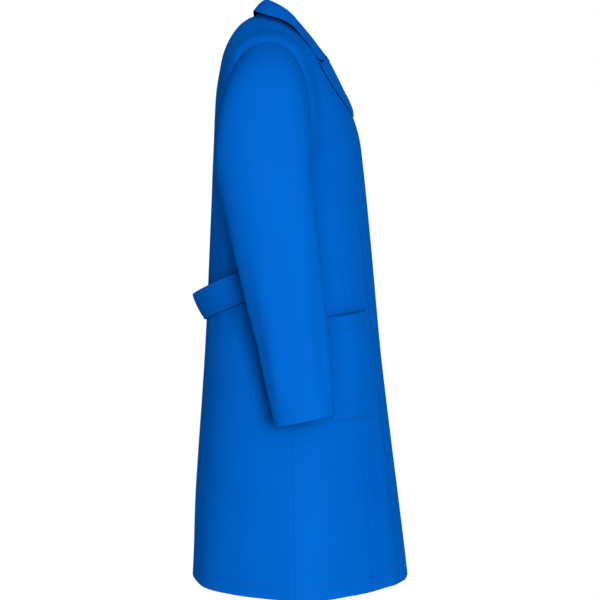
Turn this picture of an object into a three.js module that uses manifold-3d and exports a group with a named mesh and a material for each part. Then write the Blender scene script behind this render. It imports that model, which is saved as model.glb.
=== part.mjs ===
// Knee-length lab coat, standing in the shape it has when it is worn or carried on a hanger.
// Millimetres, +Z up, the wearer faces -Y and the wearer's left is +X.
// The shape is laid out in a working frame whose z = 0 is the hem; ORIGIN moves it to the point
// where a hanger's hook rises through the neck opening.
import * as THREE from 'three';
import Module from 'manifold-3d';
import { mergeVertices } from 'three/addons/utils/BufferGeometryUtils.js';

const wasm = await Module();
wasm.setup();

// ---- driving dimensions --------------------------------------------------------------------
const ORIGIN = [0, 54, 953];      // hook point: mid-plane, plane of the shoulder seams, side neck level
const CLOTH = 1.2;                // face cloth of a body panel, with its seam allowance
const LINING = 0.8;               // facings, linings and the second layer of the collar and belt
const GAP = 0.35;                 // clearance between pieces that touch
const HEM_Z = 0;
const NECK_Z = 953;               // side neck point
const NECK_X = 78;
const TIP_Z = 889;                // shoulder tip
const ARMHOLE_X = 190;            // plane of the armhole ring
const ARMHOLE = { y: 52, z: 770, hy: 66, hz: 118, n: 2.2 };
const FOLD_X = 90;                // the front bands turn back along this line
const FOLD_Y0 = -168, FOLD_DY = 0.1127;   // y of the fold line = FOLD_Y0 + FOLD_DY * z
const BREAK_Z = 800;              // top of the front band on the front edge
const BREAK_SIDE_Z = 650;         // top of the front band on the fold line
const OVER_R = 18, UNDER_L = 12;  // how far each front passes the centre line
const INSET_L = 7.2;              // the left front lies this far under the right one
const STUD_Z = [748, 655, 550, 445, 340];
const POCKET = { x0: 101, x1: 196, z0: 282, z1: 452 };

// ---- helpers ---------------------------------------------------------------------------------
// Monotone cubic through [x, y] pairs.
function prof(pts) {
  const n = pts.length, x = pts.map(p => p[0]), y = pts.map(p => p[1]);
  const d = [], m = new Array(n).fill(0);
  for (let i = 0; i < n - 1; i++) d.push((y[i + 1] - y[i]) / (x[i + 1] - x[i]));
  m[0] = d[0]; m[n - 1] = d[n - 2];
  for (let i = 1; i < n - 1; i++) {
    if (d[i - 1] * d[i] <= 0) { m[i] = 0; continue; }
    const w1 = 2 * (x[i + 1] - x[i]) + (x[i] - x[i - 1]), w2 = (x[i + 1] - x[i]) + 2 * (x[i] - x[i - 1]);
    m[i] = (w1 + w2) / (w1 / d[i - 1] + w2 / d[i]);
  }
  return v => {
    if (v <= x[0]) return y[0] + m[0] * (v - x[0]);
    if (v >= x[n - 1]) return y[n - 1] + m[n - 1] * (v - x[n - 1]);
    let i = 0; while (v > x[i + 1]) i++;
    const h = x[i + 1] - x[i], t = (v - x[i]) / h, t2 = t * t, t3 = t2 * t;
    return (2 * t3 - 3 * t2 + 1) * y[i] + (t3 - 2 * t2 + t) * h * m[i] + (-2 * t3 + 3 * t2) * y[i + 1] + (t3 - t2) * h * m[i + 1];
  };
}
const clamp = (v, a, b) => Math.min(b, Math.max(a, v));
const lerp = (a, b, t) => a + (b - a) * t;
const smooth = t => { t = clamp(t, 0, 1); return t * t * (3 - 2 * t); };
const sgn = v => (v < 0 ? -1 : 1);

// ---- the body surface: level sections, t = 0 at centre front, +-90 deg at the sides, 180 deg at centre back
const A = prof([[0, 236], [100, 229], [200, 220], [300, 209], [400, 197], [470, 189], [520, 184], [580, 181], [640, 183], [700, 187], [760, 189], [889, 190]]);
const halfWidth = z => z <= TIP_Z ? A(z) : z <= NECK_Z ? lerp(190, NECK_X, (z - TIP_Z) / (NECK_Z - TIP_Z)) : prof([[953, 78], [960, 61], [968.5, 33]])(z);
const sideY = prof([[0, 10], [270, 16], [400, 24], [500, 30], [563, 36], [650, 48], [770, 53], [889, 57], [953, 54]]);
const frontY = prof([[0, -187.8], [8.75, -186.9], [38.5, -183.4], [126, -172.6], [213.5, -161.7], [301, -150.9], [388.5, -140.6], [476, -132.5], [563.5, -124.8], [651, -116.4], [703.5, -110.8], [738.5, -106.6], [756, -103.6], [791, -93.2], [820, -79], [835, -70], [850, -62], [886, -42], [918, -24], [940, -8], [953, 0]]);
const backY = prof([[0, 186.6], [38.5, 185], [126, 182.7], [213.5, 177.3], [301, 171], [388.5, 165.6], [430, 163.5], [511, 159.8], [581, 156.5], [651, 153], [686, 151.6], [740, 149], [791, 146.7], [826, 144.3], [861, 139], [896, 132], [913.5, 126.7], [931, 118.9], [948.5, 107.6], [957, 99], [966, 88], [970, 77]]);
const nFront = prof([[0, 1.84], [213, 1.91], [400, 2.07], [563, 2.04], [650, 1.97], [790, 2.17], [953, 2.2]]);
const nBack = prof([[0, 1.9], [300, 2.05], [563, 2.2], [700, 2.7], [860, 2.8], [953, 2.5]]);

function section(t, z) {
  const front = Math.abs(t) < Math.PI / 2, n = front ? nFront(z) : nBack(z), a = halfWidth(z), ys = sideY(z);
  const s = Math.abs(Math.sin(t)), c = Math.abs(Math.cos(t));
  let x = sgn(Math.sin(t)) * a * Math.pow(s, 2 / n);
  const y = front ? ys - (ys - frontY(z)) * Math.pow(c, 2 / n) : ys + (backY(z) - ys) * Math.pow(c, 2 / n);
  // the cloth stands out to the armhole ring all round the armhole
  const rho = Math.pow(Math.pow(Math.abs(y - ARMHOLE.y) / ARMHOLE.hy, ARMHOLE.n) + Math.pow(Math.abs(z - ARMHOLE.z) / ARMHOLE.hz, ARMHOLE.n), 1 / ARMHOLE.n);
  const g = smooth((1.35 - rho) / 0.35);
  if (g > 0 && Math.abs(x) > 60) x += sgn(x) * (ARMHOLE_X - 0.9 - Math.abs(x)) * g * clamp((Math.abs(x) - 60) / 60, 0, 1);
  return new THREE.Vector3(x, y, z);
}
const tOfX = (x, z, back = false) => {
  const n = back ? nBack(z) : nFront(z), t = Math.asin(Math.pow(clamp(Math.abs(x) / halfWidth(z), 0, 1), n / 2));
  return sgn(x) * (back ? Math.PI - t : t);
};
const armholeH = z => { const k = Math.abs(z - ARMHOLE.z) / ARMHOLE.hz; return k >= 1 ? 0 : ARMHOLE.hy * Math.pow(1 - Math.pow(k, ARMHOLE.n), 1 / ARMHOLE.n); };
const tArmFront = z => Math.acos(Math.pow(clamp((sideY(z) - ARMHOLE.y + armholeH(z)) / (sideY(z) - frontY(z)), 0, 1), nFront(z) / 2));
const tArmBack = z => Math.PI - Math.acos(Math.pow(clamp((ARMHOLE.y + armholeH(z) - sideY(z)) / (backY(z) - sideY(z)), 0, 1), nBack(z) / 2));

// A sheet of cloth: fn(a, b) for a, b in 0..1 gives a point, and o0, o1 are the inner and outer
// offsets along the normal (numbers, or functions of a and b). nu, nv are the facets each way.
function sheet(fn, nu, nv, o0, o1, outward) {
  const g = new THREE.BoxGeometry(1, 1, 1, nu, nv, 1), p = g.attributes.position, e = 1e-3;
  for (let i = 0; i < p.count; i++) {
    const a = p.getX(i) + 0.5, b = p.getY(i) + 0.5, c = p.getZ(i) + 0.5;
    const P = fn(a, b);
    const du = fn(Math.min(1, a + e), b).sub(fn(Math.max(0, a - e), b));
    const dv = fn(a, Math.min(1, b + e)).sub(fn(a, Math.max(0, b - e)));
    const n = du.cross(dv).normalize();
    if (n.dot(outward(P, a, b)) < 0) n.negate();
    const oo = c < 0.5 ? o0 : o1;
    P.addScaledVector(n, typeof oo === 'function' ? oo(a, b) : oo);
    p.setXYZ(i, P.x, P.y, P.z);
  }
  return closed(g);
}
// Merges the shared vertices and turns the faces out.
function closed(g) {
  g.deleteAttribute('normal'); g.deleteAttribute('uv');
  g = mergeVertices(g, 1e-3);
  const p = g.attributes.position, idx = g.index.array;
  let v = 0;
  for (let i = 0; i < idx.length; i += 3) {
    const a = new THREE.Vector3().fromBufferAttribute(p, idx[i]), b = new THREE.Vector3().fromBufferAttribute(p, idx[i + 1]), c = new THREE.Vector3().fromBufferAttribute(p, idx[i + 2]);
    v += a.dot(b.cross(c));
  }
  if (v < 0) for (let i = 0; i < idx.length; i += 3) [idx[i + 1], idx[i + 2]] = [idx[i + 2], idx[i + 1]];
  return g;
}
const solid = g => {
  if (g.attributes.normal) { g.deleteAttribute('normal'); g.deleteAttribute('uv'); g = mergeVertices(g, 1e-3); }
  return new wasm.Manifold(new wasm.Mesh({ numProp: 3, vertProperties: new Float32Array(g.attributes.position.array), triVerts: new Uint32Array(g.index.array) }));
};
const geometryOf = m => {
  const k = m.getMesh(), v = new Float32Array(k.numVert * 3);
  for (let i = 0; i < k.numVert; i++) v.set(k.vertProperties.subarray(i * k.numProp, i * k.numProp + 3), i * 3);
  return new THREE.BufferGeometry().setAttribute('position', new THREE.BufferAttribute(v, 3)).setIndex(new THREE.BufferAttribute(new Uint32Array(k.triVerts), 1));
};

// ---- materials -------------------------------------------------------------------------------
const mat = (color, roughness = 0.85, metalness = 0) => new THREE.MeshStandardMaterial({ color, roughness, metalness });
const cloth = mat(0x0056bd), facingCloth = mat(0x0050b0), tape = mat(0x0a4da6), button = mat(0x0b4fae, 0.4), snap = mat(0xb9bdc4, 0.3, 1), label = mat(0xe9ecef, 0.8);
const coat = new THREE.Group();
const work = new THREE.Group();
work.position.set(-ORIGIN[0], -ORIGIN[1], -ORIGIN[2]);
coat.add(work);
function add(name, geometry, material) {
  const m = new THREE.Mesh(geometry, material); m.name = name; work.add(m); return m;
}

// ---- body panels -----------------------------------------------------------------------------
const HALF = CLOTH / 2;
const eps = (z, d) => d / Math.max(60, halfWidth(z));   // an angle that is about d mm on the surface
// heights of the facet rows of a panel that reaches the shoulder
const rows = list => b => { const k = b * (list.length - 1), i = Math.min(list.length - 2, Math.floor(k)); return lerp(list[i], list[i + 1], k - i); };

const Z_LOW = [0, 75, 150, 225, 285, 340, 395, 450, 505, 560, 606, 648, 652.3, 662, 685, 710, 730, 740, 752, 764];
const princess = prof([[0, 163], [213, 152], [400, 145], [558, 143], [650, 147], [700, 152], [724, 158], [745, 168], [758, 178], [766, 186]]);
const rollX = prof([[BREAK_Z, 4], [822, 22], [861, 39], [886, 54], [912, 67], [935, 76], [950, 78.5]]);
const neckX = prof([[953, 78], [960, 57], [968.5, 23], [970, 16]]);
const bodyOut = P => new THREE.Vector3(P.x, P.y - 50, Math.max(0, P.z - 850));
const LAYER = HALF + GAP;                    // from the middle of the face cloth to the next layer

for (const s of [-1, 1]) {
  const L = s < 0 ? 'right' : 'left';
  // back: centre back seam to side seam, armhole and shoulder seam
  const bz = [0, 75, 150, 225, 285, 340, 395, 450, 505, 560, 606, 648, 652.3, 662, 690, 740, 800, 850, 878, 888, 898, 912, 928, 942, 952.5, 960, 969.8];
  const backRow = rows(bz);
  add('back_' + L + '_panel', sheet((a, b) => {
    const z = backRow(b);
    const tOut = (z < 652.2 ? Math.PI / 2 : z < 888.2 ? tArmBack(z) : z <= NECK_Z ? Math.PI / 2 : tOfX(neckX(z), z, true)) + eps(z, 0.4);
    return section(s * lerp(Math.PI - eps(z, 0.25), tOut, a), z);
  }, 7, bz.length - 1, -HALF, HALF, bodyOut), cloth);
  // side front: side seam and armhole to the princess seam
  const sideRow = rows(Z_LOW);
  add(L + '_side_front_panel', sheet((a, b) => {
    const z = sideRow(b);
    const tOut = (z < 652.2 ? Math.PI / 2 : tArmFront(z)) - eps(z, 0.4);
    const tIn = tOfX(princess(z), z) + eps(z, 0.4);
    return section(s * lerp(tOut, Math.min(tIn, tOut - 0.012), a), z);
  }, 4, Z_LOW.length - 1, -HALF, HALF, bodyOut), cloth);
  // front: princess seam to the fold line of the front band, and the whole chest above it
  const fz = [...Z_LOW, 767, 782, 800, 822, 850, 878, 888, 898, 912, 926, 938, 949];
  const frontRow = rows(fz);
  add(L + '_front_panel', sheet((a, b) => {
    const z = frontRow(b);
    const tOut = (z < 765.5 ? Math.min(tOfX(princess(z), z), tArmFront(Math.max(z, 652)) - 0.012 - eps(z, 0.4)) : z < 888.2 ? tArmFront(z) : Math.PI / 2) - eps(z, 0.4);
    const xin = z < BREAK_SIDE_Z ? FOLD_X : z < BREAK_Z ? lerp(FOLD_X, 4, (z - BREAK_SIDE_Z) / (BREAK_Z - BREAK_SIDE_Z)) : rollX(z);
    return section(s * lerp(tOut, tOfX(xin + 0.4, z), a), z);
  }, 6, fz.length - 1, -HALF, HALF, bodyOut), cloth);

  // front band: the strip that turns back along the fold line, face cloth and facing
  const inset = x => s < 0 ? 0 : INSET_L * smooth((62 - x) / 34);      // x is measured towards the band's own side
  const over = s < 0 ? OVER_R : UNDER_L;
  const bandTop = x => lerp(BREAK_Z - 3, BREAK_SIDE_Z, clamp((Math.abs(x) - 4) / (FOLD_X - 4), 0, 1));
  const bandRow = rows([0, 0.12, 0.24, 0.36, 0.48, 0.6, 0.7, 0.79, 0.86, 0.89, 0.915, 0.94, 0.96, 0.98, 1]);
  const band = (x, z) => { const p = section(s * tOfX(x, z), z); p.y += inset(x); return p; };
  const bandSheet = (cols, zt, o0, o1) => { const col = rows(cols); return sheet((a, b) => {
    const x = col(a);
    return band(x, lerp(0.2, bandTop(x) - zt, bandRow(b)));
  }, cols.length - 1, 14, o0, o1, bodyOut); };
  const cols = [FOLD_X - 12, 62, 45, 28, 14, 4, -4, 0.3 - over];
  add(L + '_front_band', bandSheet([FOLD_X - 1.2, ...cols], 1.2, -HALF, HALF), cloth);
  add(L + '_front_facing', bandSheet(cols, 4, -LAYER - LINING - 0.5, -LAYER - 0.5), facingCloth);

  // press studs: one half on the inside of the right front, the other on the outside of the left front
  STUD_Z.forEach((z, i) => {
    const x = s < 0 ? -3 : 3, e = 0.5;
    const P = band(x, z), n = band(x + e, z).sub(band(x - e, z)).cross(band(x, z + e).sub(band(x, z - e))).normalize();
    if (n.y > 0) n.negate();
    const g = new THREE.CylinderGeometry(6, 6, 1.1, 20);
    g.applyQuaternion(new THREE.Quaternion().setFromUnitVectors(new THREE.Vector3(0, 1, 0), n));
    P.addScaledVector(n, s < 0 ? -LAYER - LINING - 1.25 - 0.55 : HALF + 0.45 + 0.55);
    g.translate(P.x, P.y, P.z);
    add('press_stud_' + (s < 0 ? 'socket_' : 'ball_') + (i + 1), geometryOf(solid(g)), snap);
  });

  // lapel: the front rolled back on itself, under layer and facing
  const edge = { x: prof([[0, 26], [0.12, 54], [0.3, 84], [0.5, 103], [0.75, 114], [1, 116.5]]), z: prof([[0, 801], [0.12, 793], [0.3, 795], [0.5, 810], [0.75, 837], [1, 868]]) };
  const rollZ = b => lerp(806, 880, b);
  const lapel = (a, b) => {
    const zr = rollZ(b), xr = rollX(zr) - 0.9, r = lerp(4.7, 5.6, Math.sqrt(b)), xf = edge.x(b), zf = edge.z(b);
    const at = u => { const x = lerp(xr, xf, u), z = lerp(zr, zf, u); return section(s * tOfX(x, z), z); };
    const nrm = u => { const x = lerp(xr, xf, u), z = lerp(zr, zf, u), e = 0.4;
      const n = section(s * tOfX(x + e, z), z).sub(section(s * tOfX(x - e, z), z)).cross(section(s * tOfX(x, z + e), z + e).sub(section(s * tOfX(x, z - e), z - e))).normalize();
      return n.y > 0 ? n.negate() : n; };
    if (a < 0.25) {
      const f = Math.PI * a / 0.25, d = at(0).sub(at(0.02)).normalize(), n = nrm(0);
      return at(0).addScaledVector(n, r * (1 - Math.cos(f))).addScaledVector(d, r * Math.sin(f));
    }
    const u = (a - 0.25) / 0.75;
    return at(u).addScaledVector(nrm(u), lerp(2 * r, 4.6, smooth(u)));
  };
  const lapelOut = (P, a, b) => { const c = lapel(0.125, b).add(lapel(0.125, b).sub(lapel(0, b)).negate()); return a < 0.25 ? P.clone().sub(lapel(0, b).add(lapel(0.25, b)).multiplyScalar(0.5)) : new THREE.Vector3(0, -1, 0); };
  add(L + '_lapel_under', sheet((a, b) => lapel(a, b), 16, 10, -HALF, HALF, lapelOut), cloth);
  add(L + '_lapel_facing', sheet((a, b) => lapel(a, b), 16, 10, LAYER + 0.1, LAYER + LINING + 0.1, lapelOut), facingCloth);

  // sleeve: rings that swing from the armhole plane to level, each from the inner wall to the outer wall
  const ring = [[191.3, 652, 191.3, 888], [191.9, 649.5, 203, 884.5], [192.8, 645, 222, 873], [194, 638, 245, 855], [195.5, 630, 264, 829], [197, 620, 279, 792], [199, 606, 289, 750], [201.5, 585, 296, 700],
    [205, 555, 300.5, 640], [209, 520, 303.5, 575], [214, 475, 305.5, 500], [220, 425, 305.7, 430], [225, 385, 305, 385], [229, 335, 303.5, 336], [232, 289, 302, 289]];
  const at = k => prof(ring.map((q, i) => [i / (ring.length - 1), q[k]]));
  const [ix, iz, ox, oz] = [at(0), at(1), at(2), at(3)];
  const cy = prof([[289, -7.5], [319, -2.4], [397, 9], [476, 23], [554, 37], [633, 50], [690, 57], [740, 56], [770, 52]]);
  const hy = prof([[289, 47.3], [319, 48.7], [397, 54], [476, 61.5], [554, 67.6], [633, 73], [700, 76.6], [745, 72.5], [770, 66]]);
  const mid = w => new THREE.Vector3(s * (ix(w) + ox(w)) / 2, cy((iz(w) + oz(w)) / 2), (iz(w) + oz(w)) / 2);
  const sleeve = (f, w) => {
    const m = mid(w), n = 2.2, c = Math.cos(f), q = Math.sin(f), h = hy(m.z);
    const u = sgn(c) * Math.pow(Math.abs(c), 2 / n), v = sgn(q) * Math.pow(Math.abs(q), 2 / n);
    const P = new THREE.Vector3(m.x + s * u * (ox(w) - ix(w)) / 2, m.y + v * h, m.z + u * (oz(w) - iz(w)) / 2);
    P.z -= 0.2 * smooth((w - 0.6) / 0.4) * v * h;
    return P;
  };
  const DEG = Math.PI / 180, seam = 113 * DEG, open = w => 0.4 / 70;
  const sleeveOut = (P, a, b) => P.clone().sub(mid(b));
  add(L + '_upper_sleeve', sheet((a, b) => sleeve(lerp(-seam + open(b), seam - open(b), a), b), 16, ring.length - 1, -HALF, HALF, sleeveOut), cloth);
  add(L + '_under_sleeve', sheet((a, b) => sleeve(lerp(seam + open(b), 2 * Math.PI - seam - open(b), a), b), 8, ring.length - 1, -HALF, HALF, sleeveOut), cloth);

  // lower patch pocket, standing a little away from the front so a hand or a notebook goes in
  const tOfY = (y, z) => Math.acos(Math.pow(clamp((sideY(z) - y) / (sideY(z) - frontY(z)), 0, 1), nFront(z) / 2));
  add(L + '_pocket', sheet((a, b) => {
    const z0 = 281 + 20 * Math.max(0, (Math.abs(2 * a - 1) - 0.8) / 0.2), z1 = lerp(459, 447, a);
    const z = lerp(z0, z1, b), t = lerp(tOfX(104, z), tOfY(-43, z), a);
    const p = section(s * t, z), e = 0.01, n = section(s * t + e, z).sub(section(s * t - e, z)), m = new THREE.Vector3(n.y, -n.x, 0).normalize();
    if (m.y > 0) m.negate();
    return p.addScaledVector(m, 2 * HALF + GAP + 1.9 + 9.6 * (1 - Math.pow(Math.abs(2 * a - 1), 3)) * smooth(b * 1.3));
  }, 12, 8, -HALF, HALF, bodyOut), cloth);
}

// back neck facing: inside the back below the neckline
const facingRow = rows([936, 946, 953, 961, 968.5]);
add('back_neck_facing', sheet((a, b) => {
  const z = facingRow(b), x = (z <= 953 ? 74 - (953 - z) * 0.6 : neckX(z) - 1.5) * (2 * a - 1);
  return section(tOfX(x, z, true) || Math.PI, z);
}, 14, 4, -LAYER - LINING - 2.2, -LAYER - 2.2, P => new THREE.Vector3(P.x, P.y - 30, P.z - 920)), facingCloth);

// collar: stations from centre back to the point, each with neck seam, roll and outer edge
const STATIONS = [
  [0.00, [0, 75, 972], [0, 60, 1000.4], [0, 81.8, 974.6]],
  [0.18, [26, 73.2, 971.4], [28, 56, 996.4], [34, 81, 973.4]],
  [0.34, [51, 67.5, 966.2], [50, 43, 986.4], [63, 74, 967.4]],
  [0.48, [70, 52, 959], [62, 29, 976.5], [84, 54, 957]],
  [0.60, [76, 33, 953.6], [69, 14, 963.4], [92, 34, 950]],
  [0.72, [74.5, 12, 944.5], [70.5, 1, 947.5], [101, 13, 937]],
  [0.84, [71, -8, 929.5], [66, -17, 926], [111, -6, 917]],
  [0.93, [66, -19, 915.5], [61.5, -33, 906.5], [116.5, -19.5, 899]],
  [1.00, [59, -29.5, 900], [56, -50, 884.5], [118.5, -32, 878.5]],
];
const stationAt = (j, k) => prof(STATIONS.map(q => [q[0], q[j][k]]));
const [NS, RS, ES] = [1, 2, 3].map(j => [0, 1, 2].map(k => stationAt(j, k)));
const pick = (F, q) => new THREE.Vector3(F[0](q), F[1](q), F[2](q));
const collar = (a, b) => {
  const q = Math.abs(2 * b - 1), s = b < 0.5 ? -1 : 1;
  const N = pick(NS, q), R = pick(RS, q), E = pick(ES, q);
  const bow = 2.6;
  let P;
  const out = E.clone().sub(N).setLength(1);
  if (a < 0.42) P = N.clone().lerp(R, a / 0.42);
  else P = R.clone().lerp(E, (a - 0.42) / 0.58);
  // round the roll and push the fall away from the stand
  const k = Math.exp(-Math.pow((a - 0.42) / 0.09, 2));
  P.addScaledVector(N.clone().add(E).multiplyScalar(0.5).sub(R).normalize(), bow * k * 0.6);
  if (a > 0.42) P.addScaledVector(out, 3.2 * Math.sin(Math.PI * clamp((a - 0.42) / 0.58, 0, 1)));
  P.x *= s;
  return P;
};
const collarOut = (P, a, b) => {
  const q = Math.abs(2 * b - 1), s = b < 0.5 ? -1 : 1, c = pick(NS, q).add(pick(ES, q)).multiplyScalar(0.5);
  c.x *= s; return P.clone().sub(c);
};
add('under_collar', sheet((a, b) => collar(a, b), 12, 24, -LINING / 2, LINING / 2, collarOut), facingCloth);
add('top_collar', sheet((a, b) => collar(a, b), 12, 24, LINING / 2 + 0.6, LINING / 2 + 0.6 + LINING, collarOut), cloth);

// half belt: loose across the back, buttoned at each end under the sleeves
const BELT = { t: 97 * Math.PI / 180, z: 517, y: 66 };
const beltPoint = (a, b) => {
  const q = 2 * a - 1, s = sgn(q), k = Math.abs(q), t = s * (Math.PI - k * (Math.PI - BELT.t)), d = Math.pow(k, 1.8);
  const one = (z, off) => { const p = section(t, z), e = 0.01, u = section(t + e, z).sub(section(t - e, z)), n = new THREE.Vector3(u.y, -u.x, 0).normalize();
    if (n.x * p.x + n.y * (p.y - 30) < 0) n.negate(); return p.addScaledVector(n, off); };
  return one(442 + 50 * d, 2.8).lerp(one(485 + 57 * d, 2.8 + 23 * (1 - Math.pow(k, 4))), b);
};
const beltOut = P => new THREE.Vector3(P.x, P.y - 50, 0);
add('half_belt', sheet(beltPoint, 44, 4, -LINING / 2, LINING / 2, beltOut), cloth);
add('half_belt_lining', sheet((a, b) => beltPoint(a, b), 44, 4, -LINING / 2 - 0.6 - LINING, -LINING / 2 - 0.6, beltOut), facingCloth);
for (const s of [-1, 1]) {
  let a = 0, best = 1e9;
  for (let i = 0; i <= 200; i++) { const q = 0.7 + 0.3 * i / 200, P = beltPoint(q, 0.5); if (Math.abs(P.y - BELT.y) < best) { best = Math.abs(P.y - BELT.y); a = q; } }
  const P = beltPoint(a, 0.5), n = beltPoint(a, 0.5).sub(beltPoint(a - 0.01, 0.5)).cross(beltPoint(a, 0.6).sub(beltPoint(a, 0.4))).normalize();
  if (n.x < 0) n.negate();
  if (s < 0) { P.x = -P.x; n.x = -n.x; }
  const g = new THREE.LatheGeometry([[0, 0], [7.5, 0], [9, 0.8], [9, 2.2], [7.6, 2.9], [6, 2.3], [0, 2.1]].map(v => new THREE.Vector2(...v)), 28);
  g.applyQuaternion(new THREE.Quaternion().setFromUnitVectors(new THREE.Vector3(0, 1, 0), n));
  P.addScaledVector(n, LINING / 2 + 0.4);
  g.translate(P.x, P.y, P.z);
  add('belt_button_' + (s < 0 ? 'right' : 'left'), closed(g), button);
}

// hanger loop: a folded tape sewn in at the back neck seam, hanging inside
const LOOP = { x: 31, y: 70.3, z: 966, drop: 24, w: 7 };
add('hanger_loop', sheet((a, b) => {
  const f = Math.PI * a, n = 2.6, w = LOOP.w * (b - 0.5);
  const c = Math.cos(f), q = Math.sin(f);
  const X = -sgn(c) * Math.pow(Math.abs(c), 2 / n), Z = -Math.pow(Math.abs(q), 2 / n);
  return new THREE.Vector3(X * (LOOP.x + w), LOOP.y, LOOP.z + Z * (LOOP.drop + w));
}, 20, 1, -0.7, 0.7, () => new THREE.Vector3(0, -1, 0)), tape);

export default coat;
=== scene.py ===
"""The looks of a lab coat: every panel, collar, pocket, belt and stud as its own cloth or trim mesh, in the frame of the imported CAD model."""
import json

import bpy
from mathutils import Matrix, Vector

import math
import numpy as np


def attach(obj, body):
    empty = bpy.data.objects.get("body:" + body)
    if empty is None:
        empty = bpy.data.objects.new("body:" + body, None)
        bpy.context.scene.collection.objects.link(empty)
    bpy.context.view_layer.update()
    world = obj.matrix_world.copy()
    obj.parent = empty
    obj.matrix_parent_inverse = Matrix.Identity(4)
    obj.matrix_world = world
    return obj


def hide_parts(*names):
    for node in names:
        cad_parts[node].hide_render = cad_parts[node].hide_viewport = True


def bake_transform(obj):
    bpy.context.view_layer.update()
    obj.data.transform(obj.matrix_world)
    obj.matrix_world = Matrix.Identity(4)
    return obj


# ---- the coat's shape, in millimetres, hem at z = 0; ORIGIN is the frame's origin ----------------
ORIGIN = np.array([0.0, 54.0, 953.0])
NECK_Z, NECK_X, TIP_Z, ARMHOLE_X = 953.0, 78.0, 889.0, 190.0
ARM = dict(y=52.0, z=770.0, hy=66.0, hz=118.0, n=2.2)
FOLD_X, FOLD_Y0, FOLD_DY, BREAK_Z, BREAK_SIDE_Z = 90.0, -168.0, 0.1127, 800.0, 650.0
OVER_R, UNDER_L, INSET_L = 18.0, 12.0, 7.2
STUD_Z = [748, 655, 550, 445, 340]
DEG = math.pi / 180


def prof(pts):
    """Monotone cubic through (x, y) pairs, vectorised."""
    x = np.array([p[0] for p in pts], float)
    y = np.array([p[1] for p in pts], float)
    n = len(x)
    d = np.diff(y) / np.diff(x)
    m = np.zeros(n)
    m[0], m[-1] = d[0], d[-1]
    for i in range(1, n - 1):
        if d[i - 1] * d[i] > 0:
            w1 = 2 * (x[i + 1] - x[i]) + (x[i] - x[i - 1])
            w2 = (x[i + 1] - x[i]) + 2 * (x[i] - x[i - 1])
            m[i] = (w1 + w2) / (w1 / d[i - 1] + w2 / d[i])

    def f(v):
        v = np.asarray(v, float)
        i = np.clip(np.searchsorted(x, v) - 1, 0, n - 2)
        h = x[i + 1] - x[i]
        t = (v - x[i]) / h
        t2, t3 = t * t, t * t * t
        r = (2 * t3 - 3 * t2 + 1) * y[i] + (t3 - 2 * t2 + t) * h * m[i] + (-2 * t3 + 3 * t2) * y[i + 1] + (t3 - t2) * h * m[i + 1]
        r = np.where(v <= x[0], y[0] + m[0] * (v - x[0]), r)
        return np.where(v >= x[-1], y[-1] + m[-1] * (v - x[-1]), r)
    return f


def lerp(a, b, t):
    return a + (b - a) * t


def smooth(t):
    t = np.clip(t, 0, 1)
    return t * t * (3 - 2 * t)


A = prof([(0, 236), (100, 229), (200, 220), (300, 209), (400, 197), (470, 189), (520, 184), (580, 181), (640, 183), (700, 187), (760, 189), (889, 190)])
neckHalf = prof([(953, 78), (960, 61), (968.5, 33)])
sideY = prof([(0, 10), (270, 16), (400, 24), (500, 30), (563, 36), (650, 48), (770, 53), (889, 57), (953, 54)])
frontY = prof([(0, -187.8), (8.75, -186.9), (38.5, -183.4), (126, -172.6), (213.5, -161.7), (301, -150.9), (388.5, -140.6), (476, -132.5), (563.5, -124.8), (651, -116.4), (703.5, -110.8), (738.5, -106.6), (756, -103.6), (791, -93.2), (820, -79), (835, -70), (850, -62), (886, -42), (918, -24), (940, -8), (953, 0)])
backY = prof([(0, 186.6), (38.5, 185), (126, 182.7), (213.5, 177.3), (301, 171), (388.5, 165.6), (430, 163.5), (511, 159.8), (581, 156.5), (651, 153), (686, 151.6), (740, 149), (791, 146.7), (826, 144.3), (861, 139), (896, 132), (913.5, 126.7), (931, 118.9), (948.5, 107.6), (957, 99), (966, 88), (970, 77)])
nFront = prof([(0, 1.84), (213, 1.91), (400, 2.07), (563, 2.04), (650, 1.97), (790, 2.17), (953, 2.2)])
nBack = prof([(0, 1.9), (300, 2.05), (563, 2.2), (700, 2.7), (860, 2.8), (953, 2.5)])


def halfWidth(z):
    z = np.asarray(z, float)
    r = A(z)
    r = np.where(z > TIP_Z, lerp(190.0, NECK_X, (z - TIP_Z) / (NECK_Z - TIP_Z)), r)
    return np.where(z > NECK_Z, neckHalf(z), r)


def section(t, z):
    """Point of the body surface; t = 0 at centre front, +-pi/2 at the sides, pi at centre back."""
    t, z = np.broadcast_arrays(np.asarray(t, float), np.asarray(z, float))
    front = np.abs(t) < math.pi / 2
    n = np.where(front, nFront(z), nBack(z))
    a, ys = halfWidth(z), sideY(z)
    s, c = np.abs(np.sin(t)), np.abs(np.cos(t))
    x = np.sign(np.sin(t)) * a * s ** (2 / n)
    y = np.where(front, ys - (ys - frontY(z)) * c ** (2 / n), ys + (backY(z) - ys) * c ** (2 / n))
    rho = ((np.abs(y - ARM['y']) / ARM['hy']) ** ARM['n'] + (np.abs(z - ARM['z']) / ARM['hz']) ** ARM['n']) ** (1 / ARM['n'])
    g = smooth((1.35 - rho) / 0.35)
    x = x + np.where(np.abs(x) > 60, np.sign(x) * (ARMHOLE_X - 0.9 - np.abs(x)) * g * np.clip((np.abs(x) - 60) / 60, 0, 1), 0)
    return np.stack([x, y, z + 0 * x], -1)


def tOfX(x, z, back=False):
    n = nBack(z) if back else nFront(z)
    t = np.arcsin(np.clip(np.abs(x) / halfWidth(z), 0, 1) ** (n / 2))
    return np.sign(x) * ((math.pi - t) if back else t)


def tOfY(y, z):
    return np.arccos(np.clip((sideY(z) - y) / (sideY(z) - frontY(z)), 0, 1) ** (nFront(z) / 2))


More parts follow.
